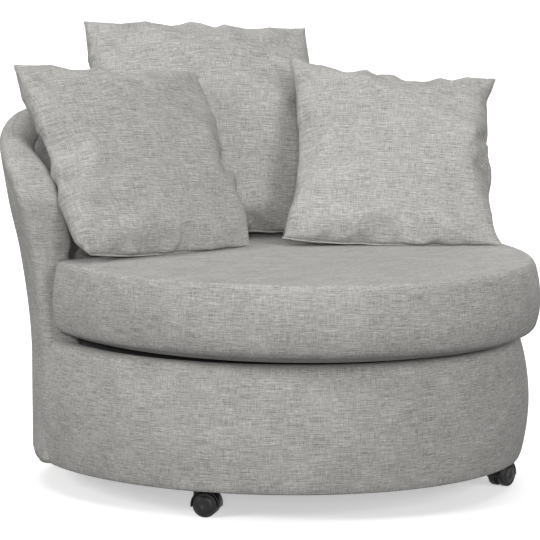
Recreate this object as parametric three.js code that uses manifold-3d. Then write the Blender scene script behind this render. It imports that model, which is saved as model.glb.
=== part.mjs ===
// A round upholstered cuddle chair on four hooded twin-wheel casters: a flared barrel back on a plywood
// frame, a padded front band, sinuous seat springs, a T-shaped seat cushion and three loose pillows.
// Millimetres. X is across the chair, -Y is its front, +Z is up, and the wheels stand on z = 0.
import * as THREE from "three";
import { mergeVertices } from "three/addons/utils/BufferGeometryUtils.js";
import Module from "manifold-3d";

const wasm = await Module();
wasm.setup();

// Clearance between pieces that touch, and how far a cutter runs past what it cuts
const gap = 0.3;
const overrun = 20;

// Plan of the base and the barrel, as half ellipses before and behind the middle of the seat
const bandHalfWidth = 502;
const bandReach = 555;
const barrelOverhang = 8;
const barrelHalfWidth = bandHalfWidth + barrelOverhang;
const barrelBackReach = 495;
const sideFlare = 70;
const backFlare = 80;
const flareStart = 250;
const flareEnd = 860;

// Heights of the base
const hemHeight = 56;
const ringUnderside = 64;
const plywood = 18;
const deckUnderside = 270;

// Height of the barrel's top edge, at the arm fronts and at the back
const armTop = 622;
const backTop = 768;
const topRisePower = 4.8;

// The barrel wall, from the outer cover inward, and the padded roll along its edge
const wallThickness = 82;
const coverThickness = 6;
const frameDepth = 28;
const facetSlack = 0.7;
const armFrontY = 35;
const rollDepth = 45;
const rollEdgeRadius = 22;
const armCornerRadius = 40;
const rollSurplus = 8;
const rollHemThickness = 22;

// Frame timber. The arm boards and stays lie under the padding of the inner back.
const ringShare = 0.2;
const deckShare = 0.167;
const armPadding = 16;
const stayWidth = 36;
const railHeight = 60;
const postWidth = 40;
const postDepth = 30;

// The front band and the bent board behind it
const bandPadding = 10;
const bandCrown = 17;
const bandHeight = 260;
const bandLip = 62;
const bandLipHeight = 22;
const skinThickness = 5;

// Seat springs and the pad over them
const springCount = 5;
const springSpacing = 130;
const springWire = 3.8;
const springLoop = 46;
const springPitch = 58;
const springSeat = 14;
const deckRise = 6;
const deckPadThickness = 18;

// Dust cover stapled under the frame
const dustCoverThickness = 0.8;
const dustCoverInset = 20;

// Seat cushion
const cushionSideSetback = 2;
const cushionOverhang = 76;
const cushionHalfWidth = bandHalfWidth - cushionSideSetback;
const cushionReach = bandReach + cushionOverhang;
const cushionFrontPower = 2.15;
const cushionClearance = 3;
const earCornerRadius = 34;
const cushionBoxing = 145;
const cushionCrown = 20;
const cushionRimRadius = 13;
const cushionBulge = 7;
const coverWall = 3;
const zipLength = 420;
const zipOpening = 4;

// Hooded twin-wheel casters
const wheelRadius = 25;
const wheelWidth = 15;
const wheelDish = 1.4;
const wheelEdge = 2.5;
const wheelHubRadius = 9;
const wheelRecess = 3;
const wheelClearance = 0.7;
const wheelBoreDepth = 9;
const axleRadius = 3;
const hoodClearance = 1.5;
const hoodThickness = 3;
const hoodWeb = 6;
const hoodHalfWidth = 17.5;
const hoodDrop = 5;
const trail = 16;
const wheelSides = 16;
const hoodSides = 20;
const axleSides = 12;
const neckRadius = 11;
const kingpinRadius = 4;
const kingpinDepth = 9;
const plateSize = 34;
const plateThickness = 2.2;
const plateCornerRadius = 5;
const screwInset = 6;
const screwHeadRadius = 3.2;
const screwFootRadius = 1.9;
const screwHeadHeight = 1.6;
const casterInset = 42;
const casterFrontTurn = 48.1;
const casterBackTurn = 43.8;

const degree = Math.PI / 180;
const quarter = Math.PI / 2;
const planSegments = 24;
const wallRows = 5;

const ringTop = ringUnderside + plywood;
const deckTop = deckUnderside + plywood;
const deckPadBase = deckTop + gap + springWire + facetSlack + gap;
const cushionBottom = deckPadBase + deckRise + deckPadThickness + gap;
const cushionTop = cushionBottom + cushionBoxing + cushionRimRadius;
const rollBackY = armFrontY + rollDepth;

const finish = (color, roughness, metalness = 0) =>
  new THREE.MeshStandardMaterial({ color, roughness, metalness });
const linenWeave = () => finish(0xb4b2ae, 0.95);
const plywoodBirch = () => finish(0xcaa877, 0.7);
const hardwood = () => finish(0xb88a58, 0.7);
const fibreboard = () => finish(0x8c6f4c, 0.9);
const springSteel = () => finish(0x8d9093, 0.35, 0.9);
const seatFoam = () => finish(0xe9e1c8, 0.95);
const blackNonwoven = () => finish(0x1d1d1e, 0.95);
const blackNylon = () => finish(0x191919, 0.45);
const zincSteel = () => finish(0xb9bcc0, 0.35, 0.9);

const chair = new THREE.Group();

// Solids and meshes

function solidOf(geometry) {
  const bare = geometry.clone();
  bare.deleteAttribute("normal");
  bare.deleteAttribute("uv");
  const merged = mergeVertices(bare);
  return new wasm.Manifold(
    new wasm.Mesh({
      numProp: 3,
      vertProperties: new Float32Array(merged.getAttribute("position").array),
      triVerts: new Uint32Array(merged.index.array),
    }),
  );
}

function geometryOf(solid) {
  const { vertProperties, triVerts } = solid.getMesh();
  const geometry = new THREE.BufferGeometry();
  geometry.setAttribute("position", new THREE.BufferAttribute(vertProperties, 3));
  geometry.setIndex(new THREE.BufferAttribute(triVerts, 1));
  geometry.computeVertexNormals();
  return geometry;
}

function addPiece(name, shape, material, parent = chair) {
  const mesh = new THREE.Mesh(shape.isBufferGeometry ? shape : geometryOf(shape), material);
  mesh.name = name;
  parent.add(mesh);
  return mesh;
}

// A closed surface from points and triangles, turned so that its faces point out
function closedSurface(points, faces) {
  const geometry = new THREE.BufferGeometry().setFromPoints(points);
  let volume = 0;
  for (let i = 0; i < faces.length; i += 3) {
    const [a, b, c] = faces.slice(i, i + 3).map((index) => points[index]);
    volume += a.dot(b.clone().cross(c));
  }
  geometry.setIndex(volume < 0 ? [...faces].reverse() : faces);
  geometry.computeVertexNormals();
  return geometry;
}

function bridgeFaces(ringCount, count) {
  const faces = [];
  for (let ring = 0; ring < ringCount - 1; ring++)
    for (let i = 0; i < count; i++) {
      const [near, next] = [ring * count + i, ring * count + ((i + 1) % count)];
      faces.push(near, next, next + count, near, next + count, near + count);
    }
  return faces;
}

// One flat section carried through its stations, with both ends capped
function sweep(section, stations, place) {
  const rings = stations.map((station) => section.map((point) => place(station, point.x, point.y)));
  const cap = THREE.ShapeUtils.triangulateShape(section, []);
  const last = (rings.length - 1) * section.length;
  const faces = bridgeFaces(rings.length, section.length);
  // The section may run either way round, which decides which way its caps face.
  const flip = THREE.ShapeUtils.isClockWise(section);
  for (const [a, b, c] of cap) {
    const [p, q] = flip ? [c, b] : [b, c];
    const [r, s] = flip ? [b, c] : [c, b];
    faces.push(a, q, p, last + a, last + s, last + r);
  }
  return closedSurface(rings.flat(), faces);
}

// Level rings closed by a point below and a point above
function ringStack(rings, bottom, top) {
  const count = rings[0].length;
  const faces = bridgeFaces(rings.length, count);
  const [low, high] = [rings.length * count, rings.length * count + 1];
  const last = (rings.length - 1) * count;
  for (let i = 0; i < count; i++) {
    const next = (i + 1) % count;
    faces.push(low, next, i, high, last + i, last + next);
  }
  return closedSurface([...rings.flat(), bottom, top], faces);
}

function block(xFrom, xTo, yFrom, yTo, zFrom, zTo) {
  const box = new THREE.BoxGeometry(xTo - xFrom, yTo - yFrom, zTo - zFrom);
  return solidOf(box.translate((xFrom + xTo) / 2, (yFrom + yTo) / 2, (zFrom + zTo) / 2));
}

const everywhere = 2 * (cushionReach + barrelBackReach);
const behindPlane = (y, zFrom = -everywhere, zTo = everywhere) =>
  block(-everywhere, everywhere, y, everywhere, zFrom, zTo);

const spread = (count, from, to) =>
  Array.from({ length: count + 1 }, (_, i) => from + ((to - from) * i) / count);

// The barrel wall. turn 0 is the left arm, a quarter turn the middle of the back, half a turn the right arm.

const smooth = (share) => share * share * (3 - 2 * share);
const flareShareAt = (z) => smooth(THREE.MathUtils.clamp((z - flareStart) / (flareEnd - flareStart), 0, 1));
const sideAt = (z) => barrelHalfWidth + sideFlare * flareShareAt(z);
const backAt = (z) => barrelBackReach + backFlare * flareShareAt(z);

function wallPoint(turn, z, inset) {
  return new THREE.Vector3(-(sideAt(z) - inset) * Math.cos(turn), (backAt(z) - inset) * Math.sin(turn), z);
}

// The turn at which the wall meets the upright plane at y, on the left side
const turnAtY = (y, z, inset) => Math.asin(y / (backAt(z) - inset));

const armTurn = turnAtY(armFrontY, armTop, 0);

function topAt(turn) {
  const fromArm = Math.min(turn, Math.PI - turn);
  const share = THREE.MathUtils.clamp((fromArm - armTurn) / (quarter - armTurn), 0, 1);
  return armTop + (backTop - armTop) * (1 - (1 - share) ** topRisePower);
}

// Every layer of the wall shares these rows and turns, so that the layers' facets lie parallel.
const rowHeights = [hemHeight, ...spread(wallRows, flareStart, flareEnd)];
const turns = spread(planSegments, 0, Math.PI);

function wallLayer(outerInset, innerInset) {
  const outer = rowHeights.map((z) => new THREE.Vector2(outerInset, z));
  const inner = rowHeights.map((z) => new THREE.Vector2(innerInset, z)).reverse();
  return solidOf(sweep([...outer, ...inner], turns, (turn, inset, z) => wallPoint(turn, z, inset)));
}

// An upright shell that follows the foot of the wall
function footShell(outerInset, innerInset, zTo) {
  const section = [
    new THREE.Vector2(outerInset, -overrun),
    new THREE.Vector2(innerInset, -overrun),
    new THREE.Vector2(innerInset, zTo),
    new THREE.Vector2(outerInset, zTo),
  ];
  return solidOf(sweep(section, turns, (turn, inset, z) => wallPoint(turn, hemHeight, inset).setZ(z)));
}

// All the space under the wall's top edge lowered by a depth, for cutting layers to height
function underTop(depth) {
  const [outside, inside] = [-overrun, wallThickness + backFlare + 2 * overrun];
  const section = [
    new THREE.Vector2(outside, 0),
    new THREE.Vector2(inside, 0),
    new THREE.Vector2(inside, 1),
    new THREE.Vector2(outside, 1),
  ];
  return solidOf(
    sweep(section, turns, (turn, inset, raised) => {
      const top = topAt(turn) - depth;
      const edge = wallPoint(turn, top, inset);
      return edge.setZ(raised ? top : -overrun);
    }),
  );
}

const underRoll = underTop(rollDepth + gap);

function outerBackCover() {
  return wallLayer(0, coverThickness).intersect(underRoll).intersect(behindPlane(rollBackY + gap));
}

const boardBackY = rollBackY + gap + plywood;
const frameInset = coverThickness + gap + facetSlack;
const padInset = frameInset + frameDepth + gap;

function armBoard(side) {
  const slab = block(
    side > 0 ? 0 : -everywhere,
    side > 0 ? everywhere : 0,
    rollBackY + gap,
    boardBackY,
    ringTop + gap,
    everywhere,
  );
  return wallLayer(frameInset, wallThickness - armPadding).intersect(underRoll).intersect(slab);
}

function topRail() {
  const rail = wallLayer(frameInset, frameInset + frameDepth).intersect(underRoll);
  return rail.subtract(underTop(rollDepth + gap + railHeight)).intersect(behindPlane(boardBackY + gap));
}

function backStay(turn) {
  const middle = wallPoint(turn, hemHeight, frameInset + frameDepth / 2);
  const beam = new THREE.BoxGeometry(stayWidth, 2 * everywhere, everywhere);
  beam.translate(0, 0, ringTop + gap + everywhere / 2);
  beam.rotateZ(Math.atan2(middle.y, middle.x) - quarter);
  const half = behindPlane(boardBackY + gap);
  const under = underTop(rollDepth + 2 * gap + railHeight);
  const frameLayer = wallLayer(frameInset, frameInset + frameDepth);
  return frameLayer.intersect(under).intersect(solidOf(beam)).intersect(half);
}

// The padding reaches the roll in a thinner tongue over each arm board's inner edge.
function innerBackPad() {
  const wall = wallLayer(padInset, wallThickness).intersect(underRoll);
  const tongue = wallLayer(wallThickness - armPadding + gap, wallThickness).intersect(underRoll);
  const beside = tongue.intersect(behindPlane(rollBackY + gap, deckTop + gap));
  return wall.intersect(behindPlane(boardBackY + gap, deckTop + gap)).add(beside);
}

// The padded roll: up the left arm front, round the top edge and down the right arm front.
// Its section lies between the wall's two faces, rounded along the edge that shows.

function rollSection(depth) {
  const steps = 4;
  const corner = (centreInset, from) =>
    spread(steps, from, from + quarter).map((angle) => new THREE.Vector2(
      centreInset + rollEdgeRadius * Math.cos(angle),
      rollEdgeRadius - rollEdgeRadius * Math.sin(angle),
    ));
  return [
    new THREE.Vector2(wallThickness, depth),
    ...corner(wallThickness - rollEdgeRadius, 0),
    ...corner(rollEdgeRadius, quarter),
    new THREE.Vector2(0, depth),
  ];
}

// A station holds the edge that shows and the edge that is hidden, each as distance behind the arm front
// or as a turn round the wall, with its height.
function rollStations() {
  const hiddenCornerTurn = turnAtY(rollBackY, armTop, 0);
  const hiddenCorner = topAt(hiddenCornerTurn) - rollDepth;
  const cornerShares = [0.25, 0.5, 0.75];
  const upright = spread(5, 0, 1).map((share) => ({
    shown: { y: armFrontY, z: hemHeight + (armTop - armCornerRadius - hemHeight) * share },
    hidden: { y: rollBackY, z: hemHeight + (hiddenCorner - armCornerRadius / 2 - hemHeight) * share },
  }));
  const corner = cornerShares.map((share) => {
    const forward = armCornerRadius * (1 - Math.cos(share * quarter));
    const y = armFrontY + forward;
    const top = topAt(turnAtY(y, armTop, 0));
    const below = armCornerRadius * (1 - Math.sin(share * quarter));
    const hiddenShare = share - 0.5;
    const hiddenTurn = hiddenShare > 0 ? turnAtY(rollBackY + armCornerRadius * hiddenShare, armTop, 0) : 0;
    return {
      shown: { y, z: top - below },
      hidden: hiddenShare > 0
        ? { turn: hiddenTurn, z: topAt(hiddenTurn) - rollDepth }
        : { y: rollBackY, z: hiddenCorner + armCornerRadius * hiddenShare },
    };
  });
  const left = [...upright, ...corner];
  const clearOfCorner = hiddenCornerTurn + (turns[1] - turns[0]) / 2;
  const along = turns.filter((turn) => turn > clearOfCorner && turn < Math.PI - clearOfCorner);
  const over = along.map((turn) => ({
    shown: { turn, z: topAt(turn) },
    hidden: { turn, z: topAt(turn) - rollDepth },
  }));
  const right = left.map((station) => ({ ...station, mirrored: true })).reverse();
  return [...left, ...over, ...right];
}

function placeOnEdge({ y, turn, z }, inset) {
  return wallPoint(turn === undefined ? turnAtY(y, z, inset) : turn, z, inset);
}

function edgeRoll() {
  const deep = rollDepth + rollSurplus;
  const section = rollSection(deep);
  const roll = sweep(section, rollStations(), ({ shown, hidden, mirrored }, inset, depth) => {
    const point = placeOnEdge(shown, inset).lerp(placeOnEdge(hidden, inset), depth / rollDepth);
    return mirrored ? point.setX(-point.x) : point;
  });
  // The surplus comes off along the faces that the wall's layers are cut to.
  const layers = underTop(rollDepth).intersect(behindPlane(rollBackY));
  // Beside the base the roll is only as thick as the band that it meets.
  const core = footShell(rollHemThickness, wallThickness + overrun, deckTop + gap + bandLipHeight);
  return solidOf(roll).subtract(layers).subtract(core);
}

// The base

// A half ellipse ahead of the seat's middle, carried straight back to the arm fronts
function frontPoint(angle, inset, z) {
  return new THREE.Vector3(
    (bandHalfWidth - inset) * Math.sin(angle),
    -(bandReach - inset) * Math.cos(angle),
    z,
  );
}

const bandTurns = spread(planSegments, -quarter, quarter);
const bandEndY = armFrontY - gap;

function alongBand(section) {
  const stations = [{ end: -1 }, ...bandTurns.map((angle) => ({ angle })), { end: 1 }];
  return sweep(section, stations, ({ angle, end }, inset, z) => end
    ? new THREE.Vector3(end * (bandHalfWidth - inset), bandEndY, z)
    : frontPoint(angle, inset, z));
}

function frontBand() {
  const top = hemHeight + bandHeight;
  const rounded = bandLipHeight / 2;
  const outer = spread(7, 0, 1).map((share) => {
    const z = hemHeight + (bandHeight - rounded) * share;
    return new THREE.Vector2(-bandCrown * (1 - (2 * share - 1) ** 2), z);
  });
  const skinOuter = bandPadding;
  return alongBand([
    ...outer,
    new THREE.Vector2(rounded / 2, top - rounded / 3),
    new THREE.Vector2(rounded + rounded / 2, top),
    new THREE.Vector2(bandLip, deckTop + gap + bandLipHeight - deckRise),
    new THREE.Vector2(bandLip, deckTop + gap),
    new THREE.Vector2(skinOuter, deckTop + gap),
    new THREE.Vector2(skinOuter, hemHeight),
  ]);
}

function frontBoard() {
  const [outer, inner] = [bandPadding + gap, bandPadding + gap + skinThickness];
  return alongBand([
    new THREE.Vector2(outer, ringUnderside),
    new THREE.Vector2(outer, deckTop),
    new THREE.Vector2(inner, deckTop),
    new THREE.Vector2(inner, ringUnderside),
  ]);
}

// A level plate from front and back half ellipses, each drawn in by its own inset, clear of the arm fronts
function ovalPlate(frontInset, backInset, zFrom, zTo) {
  const halfOval = (halfWidth, reach, from) => {
    const shape = new THREE.Shape();
    shape.absellipse(0, 0, halfWidth, reach, from, from + Math.PI, false);
    return shape;
  };
  const lift = (shape) => {
    const plate = new THREE.ExtrudeGeometry(shape, {
      depth: zTo - zFrom,
      bevelEnabled: false,
      curveSegments: planSegments / 2,
    });
    return solidOf(plate.translate(0, 0, zFrom));
  };
  const halfWidth = bandHalfWidth - frontInset;
  const front = halfOval(halfWidth, bandReach - frontInset, Math.PI);
  front.lineTo(halfWidth, rollBackY + overrun);
  front.lineTo(-halfWidth, rollBackY + overrun);
  const back = halfOval(barrelHalfWidth - backInset, barrelBackReach - backInset, 0);
  const arms = footShell(-overrun, rollHemThickness + gap, zTo + overrun);
  const ahead = lift(front).subtract(arms.intersect(behindPlane(armFrontY - gap)));
  return ahead.add(lift(back).intersect(behindPlane(rollBackY + gap)));
}

const frameFrontInset = bandPadding + gap + skinThickness + gap;
const ringWidth = bandHalfWidth * ringShare;
const deckWidth = bandHalfWidth * deckShare;

function bottomRing() {
  const plate = ovalPlate(frameFrontInset, coverThickness + gap + facetSlack, ringUnderside, ringTop);
  const opening = ovalPlate(
    frameFrontInset + ringWidth,
    frameFrontInset + ringWidth,
    ringUnderside - overrun,
    ringTop + overrun,
  );
  return plate.subtract(opening);
}

const openingHalfWidth = bandHalfWidth - frameFrontInset - deckWidth;
const openingFront = bandReach - frameFrontInset - deckWidth;
const openingBack = barrelBackReach - padInset - deckWidth;

function deckRing() {
  const plate = ovalPlate(frameFrontInset, padInset, deckUnderside, deckTop);
  const opening = new THREE.Shape();
  opening.absellipse(0, 0, openingHalfWidth, openingFront, Math.PI, 2 * Math.PI, false);
  opening.absellipse(0, 0, openingHalfWidth, openingBack, 0, Math.PI, false);
  const cutter = new THREE.ExtrudeGeometry(opening, {
    depth: plywood + 2 * overrun,
    bevelEnabled: false,
    curveSegments: planSegments / 2,
  });
  const arms = footShell(-overrun, wallThickness + 2 * gap, deckTop + overrun);
  const notches = arms.subtract(behindPlane(boardBackY + gap));
  return plate.subtract(solidOf(cutter.translate(0, 0, deckUnderside - overrun))).subtract(notches);
}

function basePost(angle) {
  const height = deckUnderside - ringTop - 2 * gap;
  const post = new THREE.BoxGeometry(postWidth, postDepth, height);
  const centre = frontPoint(angle, frameFrontInset + ringWidth / 2, ringTop + gap + height / 2);
  post.rotateZ(Math.atan2(centre.y, centre.x) + quarter);
  return post.translate(centre.x, centre.y, centre.z);
}

function dustCover() {
  const top = ringUnderside - gap;
  return ovalPlate(dustCoverInset, dustCoverInset, top - dustCoverThickness, top);
}

// The seat deck

const deckCrownAt = (x, y) => {
  const reach = y < 0 ? openingFront : openingBack;
  return deckRise * Math.max(0, 1 - (x / openingHalfWidth) ** 2 - (y / reach) ** 2);
};

// A sinuous spring: one wire that swings from side to side as it runs from front to back
class SinuousWire extends THREE.Curve {
  constructor(x) {
    super();
    this.x = x;
    const chordShare = Math.sqrt(1 - (x / openingHalfWidth) ** 2);
    this.from = -openingFront * chordShare - springSeat;
    this.to = openingBack * chordShare + springSeat;
    this.waves = Math.round((this.to - this.from) / springPitch);
  }

  getPoint(share) {
    const y = this.from + (this.to - this.from) * share;
    const x = this.x + (springLoop / 2) * Math.sin(2 * Math.PI * this.waves * share);
    const z = deckTop + gap + springWire / 2 + deckCrownAt(this.x, y);
    return new THREE.Vector3(x, y, z);
  }

  getPointAt(share) {
    return this.getPoint(share);
  }

  getSpacedPoints(count) {
    return this.getPoints(count);
  }

  getTangentAt(share) {
    return this.getTangent(share);
  }
}

function seatSpring(x) {
  const stepsPerWave = 6;
  const wire = new SinuousWire(x);
  const half = springWire / 2;
  const section = new THREE.Shape([
    new THREE.Vector2(-half, 0),
    new THREE.Vector2(0, -half),
    new THREE.Vector2(half, 0),
    new THREE.Vector2(0, half),
  ]);
  return new THREE.ExtrudeGeometry(section, { extrudePath: wire, steps: wire.waves * stepsPerWave });
}

function deckPad() {
  const insetFront = bandLip + gap;
  const halfWidth = barrelHalfWidth - wallThickness - gap - facetSlack;
  const back = barrelBackReach - wallThickness - gap - facetSlack;
  const base = deckPadBase;
  const outline = spread(2 * planSegments, 0, 2 * Math.PI).slice(0, -1).map((angle) => {
    const reach = Math.sin(angle) < 0 ? bandReach - insetFront : back;
    return new THREE.Vector2(halfWidth * Math.cos(angle), reach * Math.sin(angle));
  });
  const ring = (share, lift) => outline.map((point) => {
    const [x, y] = [point.x * share, point.y * share];
    return new THREE.Vector3(x, y, base + lift + deckCrownAt(x, y));
  });
  const shares = [0.4, 0.75, 1];
  const rings = [
    ...shares.map((share) => ring(share, 0)),
    ...[...shares].reverse().map((share) => ring(share, deckPadThickness)),
  ];
  const middle = base + deckRise;
  return ringStack(
    rings,
    new THREE.Vector3(0, 0, middle),
    new THREE.Vector3(0, 0, middle + deckPadThickness),
  );
}

// The seat cushion: full width before the arms, narrower between them

function cushionOutline() {
  const earY = armFrontY - cushionClearance;
  const backWidth = barrelHalfWidth - wallThickness - cushionClearance;
  const backReach = barrelBackReach - wallThickness - cushionClearance;
  const cornerSteps = 3;
  const squared = (value) => Math.sign(value) * Math.abs(value) ** (2 / cushionFrontPower);
  const front = spread(planSegments, -quarter, quarter).map((angle) => new THREE.Vector2(
    cushionHalfWidth * squared(Math.sin(angle)),
    -cushionReach * squared(Math.cos(angle)),
  ));
  const earCorner = spread(cornerSteps, 0, quarter).map((angle) => new THREE.Vector2(
    cushionHalfWidth - earCornerRadius * (1 - Math.cos(angle)),
    earY - earCornerRadius * (1 - Math.sin(angle)),
  ));
  const backTurn = Math.asin((earY + cushionClearance) / backReach);
  const back = spread(planSegments / 2, backTurn, Math.PI - backTurn).map((turn) => new THREE.Vector2(
    backWidth * Math.cos(turn),
    backReach * Math.sin(turn),
  ));
  const leftCorner = earCorner.map((point) => new THREE.Vector2(-point.x, point.y)).reverse();
  return [...front, ...earCorner, ...back, ...leftCorner];
}

// The cushion's rings, as shares of its plan, of its boxing's height and bulge, and of its crown
const undersideShares = [{ plan: 0.55, rise: 0 }, { plan: 0.91, rise: 0 }];
const boxingShares = [{ height: 0.3, bulge: 1 }, { height: 0.65, bulge: 1 }];
const crownShares = [{ plan: 0.84, rise: 0.45 }, { plan: 0.5, rise: 0.9 }];
const rimGrowShare = 0.7;

// Rings from the underside round the boxing to the crown. grow moves the skin outward, or inward if negative.
function cushionForm(grow) {
  const outline = cushionOutline();
  const rim = cushionRimRadius;
  const place = (plan, z, growShare, inset = 0) => outline.map((point) => {
    const share = plan - (inset - grow) / cushionHalfWidth;
    return new THREE.Vector3(point.x * share, point.y * share, z + grow * growShare);
  });
  const rings = [
    ...undersideShares.map(({ plan, rise }) => place(plan, cushionBottom + rim * rise, -1)),
    place(1, cushionBottom + rim / 2, -rimGrowShare, rim),
    place(1, cushionBottom + rim, 0, rim / 3),
    ...boxingShares.map(({ height, bulge }) =>
      place(1, cushionBottom + rim + cushionBoxing * height, 0, -cushionBulge * bulge)),
    place(1, cushionTop - rim / 3, 0),
    place(1, cushionTop, rimGrowShare, rim / 2),
    ...crownShares.map(({ plan, rise }) => place(plan, cushionTop + cushionCrown * rise, 1)),
  ];
  return ringStack(
    rings,
    new THREE.Vector3(0, 0, cushionBottom - grow),
    new THREE.Vector3(0, 0, cushionTop + cushionCrown + grow),
  );
}

function cushionCover() {
  const zipHeight = (cushionBottom + cushionTop) / 2;
  const zip = block(
    -zipLength / 2,
    zipLength / 2,
    0,
    everywhere,
    zipHeight - zipOpening / 2,
    zipHeight + zipOpening / 2,
  );
  const inside = solidOf(cushionForm(-coverWall));
  return solidOf(cushionForm(0)).subtract(inside).subtract(zip.subtract(inside));
}

// Pillows: two square panels sewn edge to edge, full in the middle, with drawn-in sides and pointed ears

const fullnessPower = 0.62;

function pillowForm({ width, height, thickness, drawnIn, taperShare }) {
  const cells = 10;
  const shares = spread(cells, -1, 1);
  const place = (u, v, side) => {
    const fullness = ((1 - u ** 4) * (1 - v ** 4)) ** fullnessPower;
    const x = u * ((width / 2) * (1 + taperShare * v) - drawnIn * (1 - v * v));
    const z = v * (height / 2 - drawnIn * (1 - u * u));
    return new THREE.Vector3(x, (side * fullness * thickness) / 2, z);
  };
  const points = [];
  const index = new Map();
  const pointAt = (i, j, side) => {
    const onEdge = i === 0 || j === 0 || i === cells || j === cells;
    const key = [i, j, onEdge ? 0 : side].join();
    if (!index.has(key)) {
      index.set(key, points.length);
      points.push(place(shares[i], shares[j], onEdge ? 0 : side));
    }
    return index.get(key);
  };
  const faces = [];
  for (const side of [-1, 1])
    for (let i = 0; i < cells; i++)
      for (let j = 0; j < cells; j++) {
        const [a, b] = [pointAt(i, j, side), pointAt(i + 1, j, side)];
        const [c, d] = [pointAt(i + 1, j + 1, side), pointAt(i, j + 1, side)];
        // The shorter way across keeps the corner cells from folding flat.
        const risingDiagonal = i < cells / 2 === j < cells / 2;
        const quad = risingDiagonal ? [a, b, c, a, c, d] : [b, c, d, b, d, a];
        faces.push(...(side < 0 ? quad : quad.reverse()));
      }
  return closedSurface(points, faces);
}

function placedPillow(pillow) {
  const turned = new THREE.Euler(pillow.lean * degree, pillow.roll * degree, pillow.yaw * degree, "ZXY");
  const shape = pillowForm(pillow);
  shape.applyMatrix4(new THREE.Matrix4().makeRotationFromEuler(turned));
  const [x, y] = [barrelHalfWidth * pillow.acrossShare, barrelBackReach * pillow.behindShare];
  return solidOf(shape.translate(x, y, cushionTop + pillow.above));
}

const softness = { drawnIn: 14, taperShare: 0 };
const pillows = {
  left_pillow: {
    ...softness, width: 453, height: 437, thickness: 140, taperShare: 0.052,
    acrossShare: -0.494, behindShare: 0.2707, above: 192.2, yaw: 15.2, lean: -33.7, roll: 3.4,
  },
  right_pillow: {
    ...softness, width: 452, height: 448, thickness: 140,
    acrossShare: 0.6123, behindShare: 0.103, above: 185.3, yaw: -20.1, lean: -38.4, roll: 5,
  },
  back_pillow: {
    ...softness, width: 509, height: 499, thickness: 147,
    acrossShare: 0.0035, behindShare: 0.6747, above: 230.6, yaw: -10.2, lean: -29.5, roll: 2.8,
  },
};

// Casters. In a caster's own frame the kingpin stands at x = 0 and the wheels trail along +x.

const axleHeight = wheelRadius;
const hoodInner = wheelRadius + hoodClearance;
const hoodOuter = hoodInner + hoodThickness;
const plateTop = ringUnderside - gap - dustCoverThickness - gap;
const neckTop = plateTop - plateThickness - gap;

const drum = (radius, height, sides) => new THREE.CylinderGeometry(radius, radius, height, sides);

function casterPlate() {
  const half = plateSize / 2;
  const outline = new THREE.Shape();
  const inner = half - plateCornerRadius;
  const pinSides = 12;
  outline.absarc(inner, inner, plateCornerRadius, 0, quarter, false);
  outline.absarc(-inner, inner, plateCornerRadius, quarter, Math.PI, false);
  outline.absarc(-inner, -inner, plateCornerRadius, Math.PI, 3 * quarter, false);
  outline.absarc(inner, -inner, plateCornerRadius, 3 * quarter, 4 * quarter, false);
  const plate = new THREE.ExtrudeGeometry(outline, {
    depth: plateThickness,
    bevelEnabled: false,
    curveSegments: 2,
  });
  let solid = solidOf(plate.translate(0, 0, plateTop - plateThickness));
  const pinLength = kingpinDepth + gap + plateThickness / 2;
  const pin = drum(kingpinRadius, pinLength, pinSides).rotateX(quarter);
  solid = solid.add(solidOf(pin.translate(0, 0, plateTop - plateThickness / 2 - pinLength / 2)));
  const screwAt = half - screwInset;
  for (const x of [-screwAt, screwAt])
    for (const y of [-screwAt, screwAt]) {
      const height = screwHeadHeight + plateThickness / 2;
      const head = new THREE.CylinderGeometry(screwHeadRadius, screwFootRadius, height, 6).rotateX(quarter);
      solid = solid.add(solidOf(head.translate(x, y, plateTop - plateThickness / 2 - height / 2)));
    }
  return solid;
}

function casterHood() {
  const profile = new THREE.Shape();
  const dropAngle = Math.asin(hoodDrop / hoodOuter);
  profile.absarc(trail, axleHeight, hoodOuter, -dropAngle, Math.PI + dropAngle, false);
  const arch = new THREE.ExtrudeGeometry(profile, {
    depth: 2 * hoodHalfWidth,
    bevelEnabled: false,
    curveSegments: hoodSides / 2,
  });
  arch.rotateX(quarter).translate(0, hoodHalfWidth, 0);
  const neckHeight = neckTop - axleHeight;
  const neck = drum(neckRadius, neckHeight, hoodSides).rotateX(quarter);
  neck.translate(0, 0, axleHeight + neckHeight / 2);
  const shoulderTop = axleHeight + hoodOuter - hoodThickness;
  const shoulder = block(0, trail, -neckRadius, neckRadius, axleHeight, shoulderTop);
  let hood = solidOf(arch).add(solidOf(neck)).add(shoulder);
  for (const side of [-1, 1]) {
    const wellWidth = hoodHalfWidth - hoodWeb / 2 + overrun;
    const well = drum(hoodInner, wellWidth, hoodSides);
    hood = hood.subtract(solidOf(well.translate(trail, (side * (hoodWeb + wellWidth)) / 2, axleHeight)));
  }
  const boreDepth = kingpinDepth + gap;
  const bore = drum(kingpinRadius + gap, boreDepth + overrun, axleSides).rotateX(quarter);
  hood = hood.subtract(solidOf(bore.translate(0, 0, neckTop - boreDepth / 2 + overrun / 2)));
  const axleBore = drum(axleRadius + gap, 2 * overrun, axleSides).translate(trail, 0, axleHeight);
  return hood.subtract(solidOf(axleBore));
}

const wheelInnerFace = hoodWeb / 2 + wheelClearance;

function casterAxle() {
  const length = 2 * (wheelInnerFace + wheelBoreDepth - gap);
  return drum(axleRadius, length, axleSides).translate(trail, 0, axleHeight);
}

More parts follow.
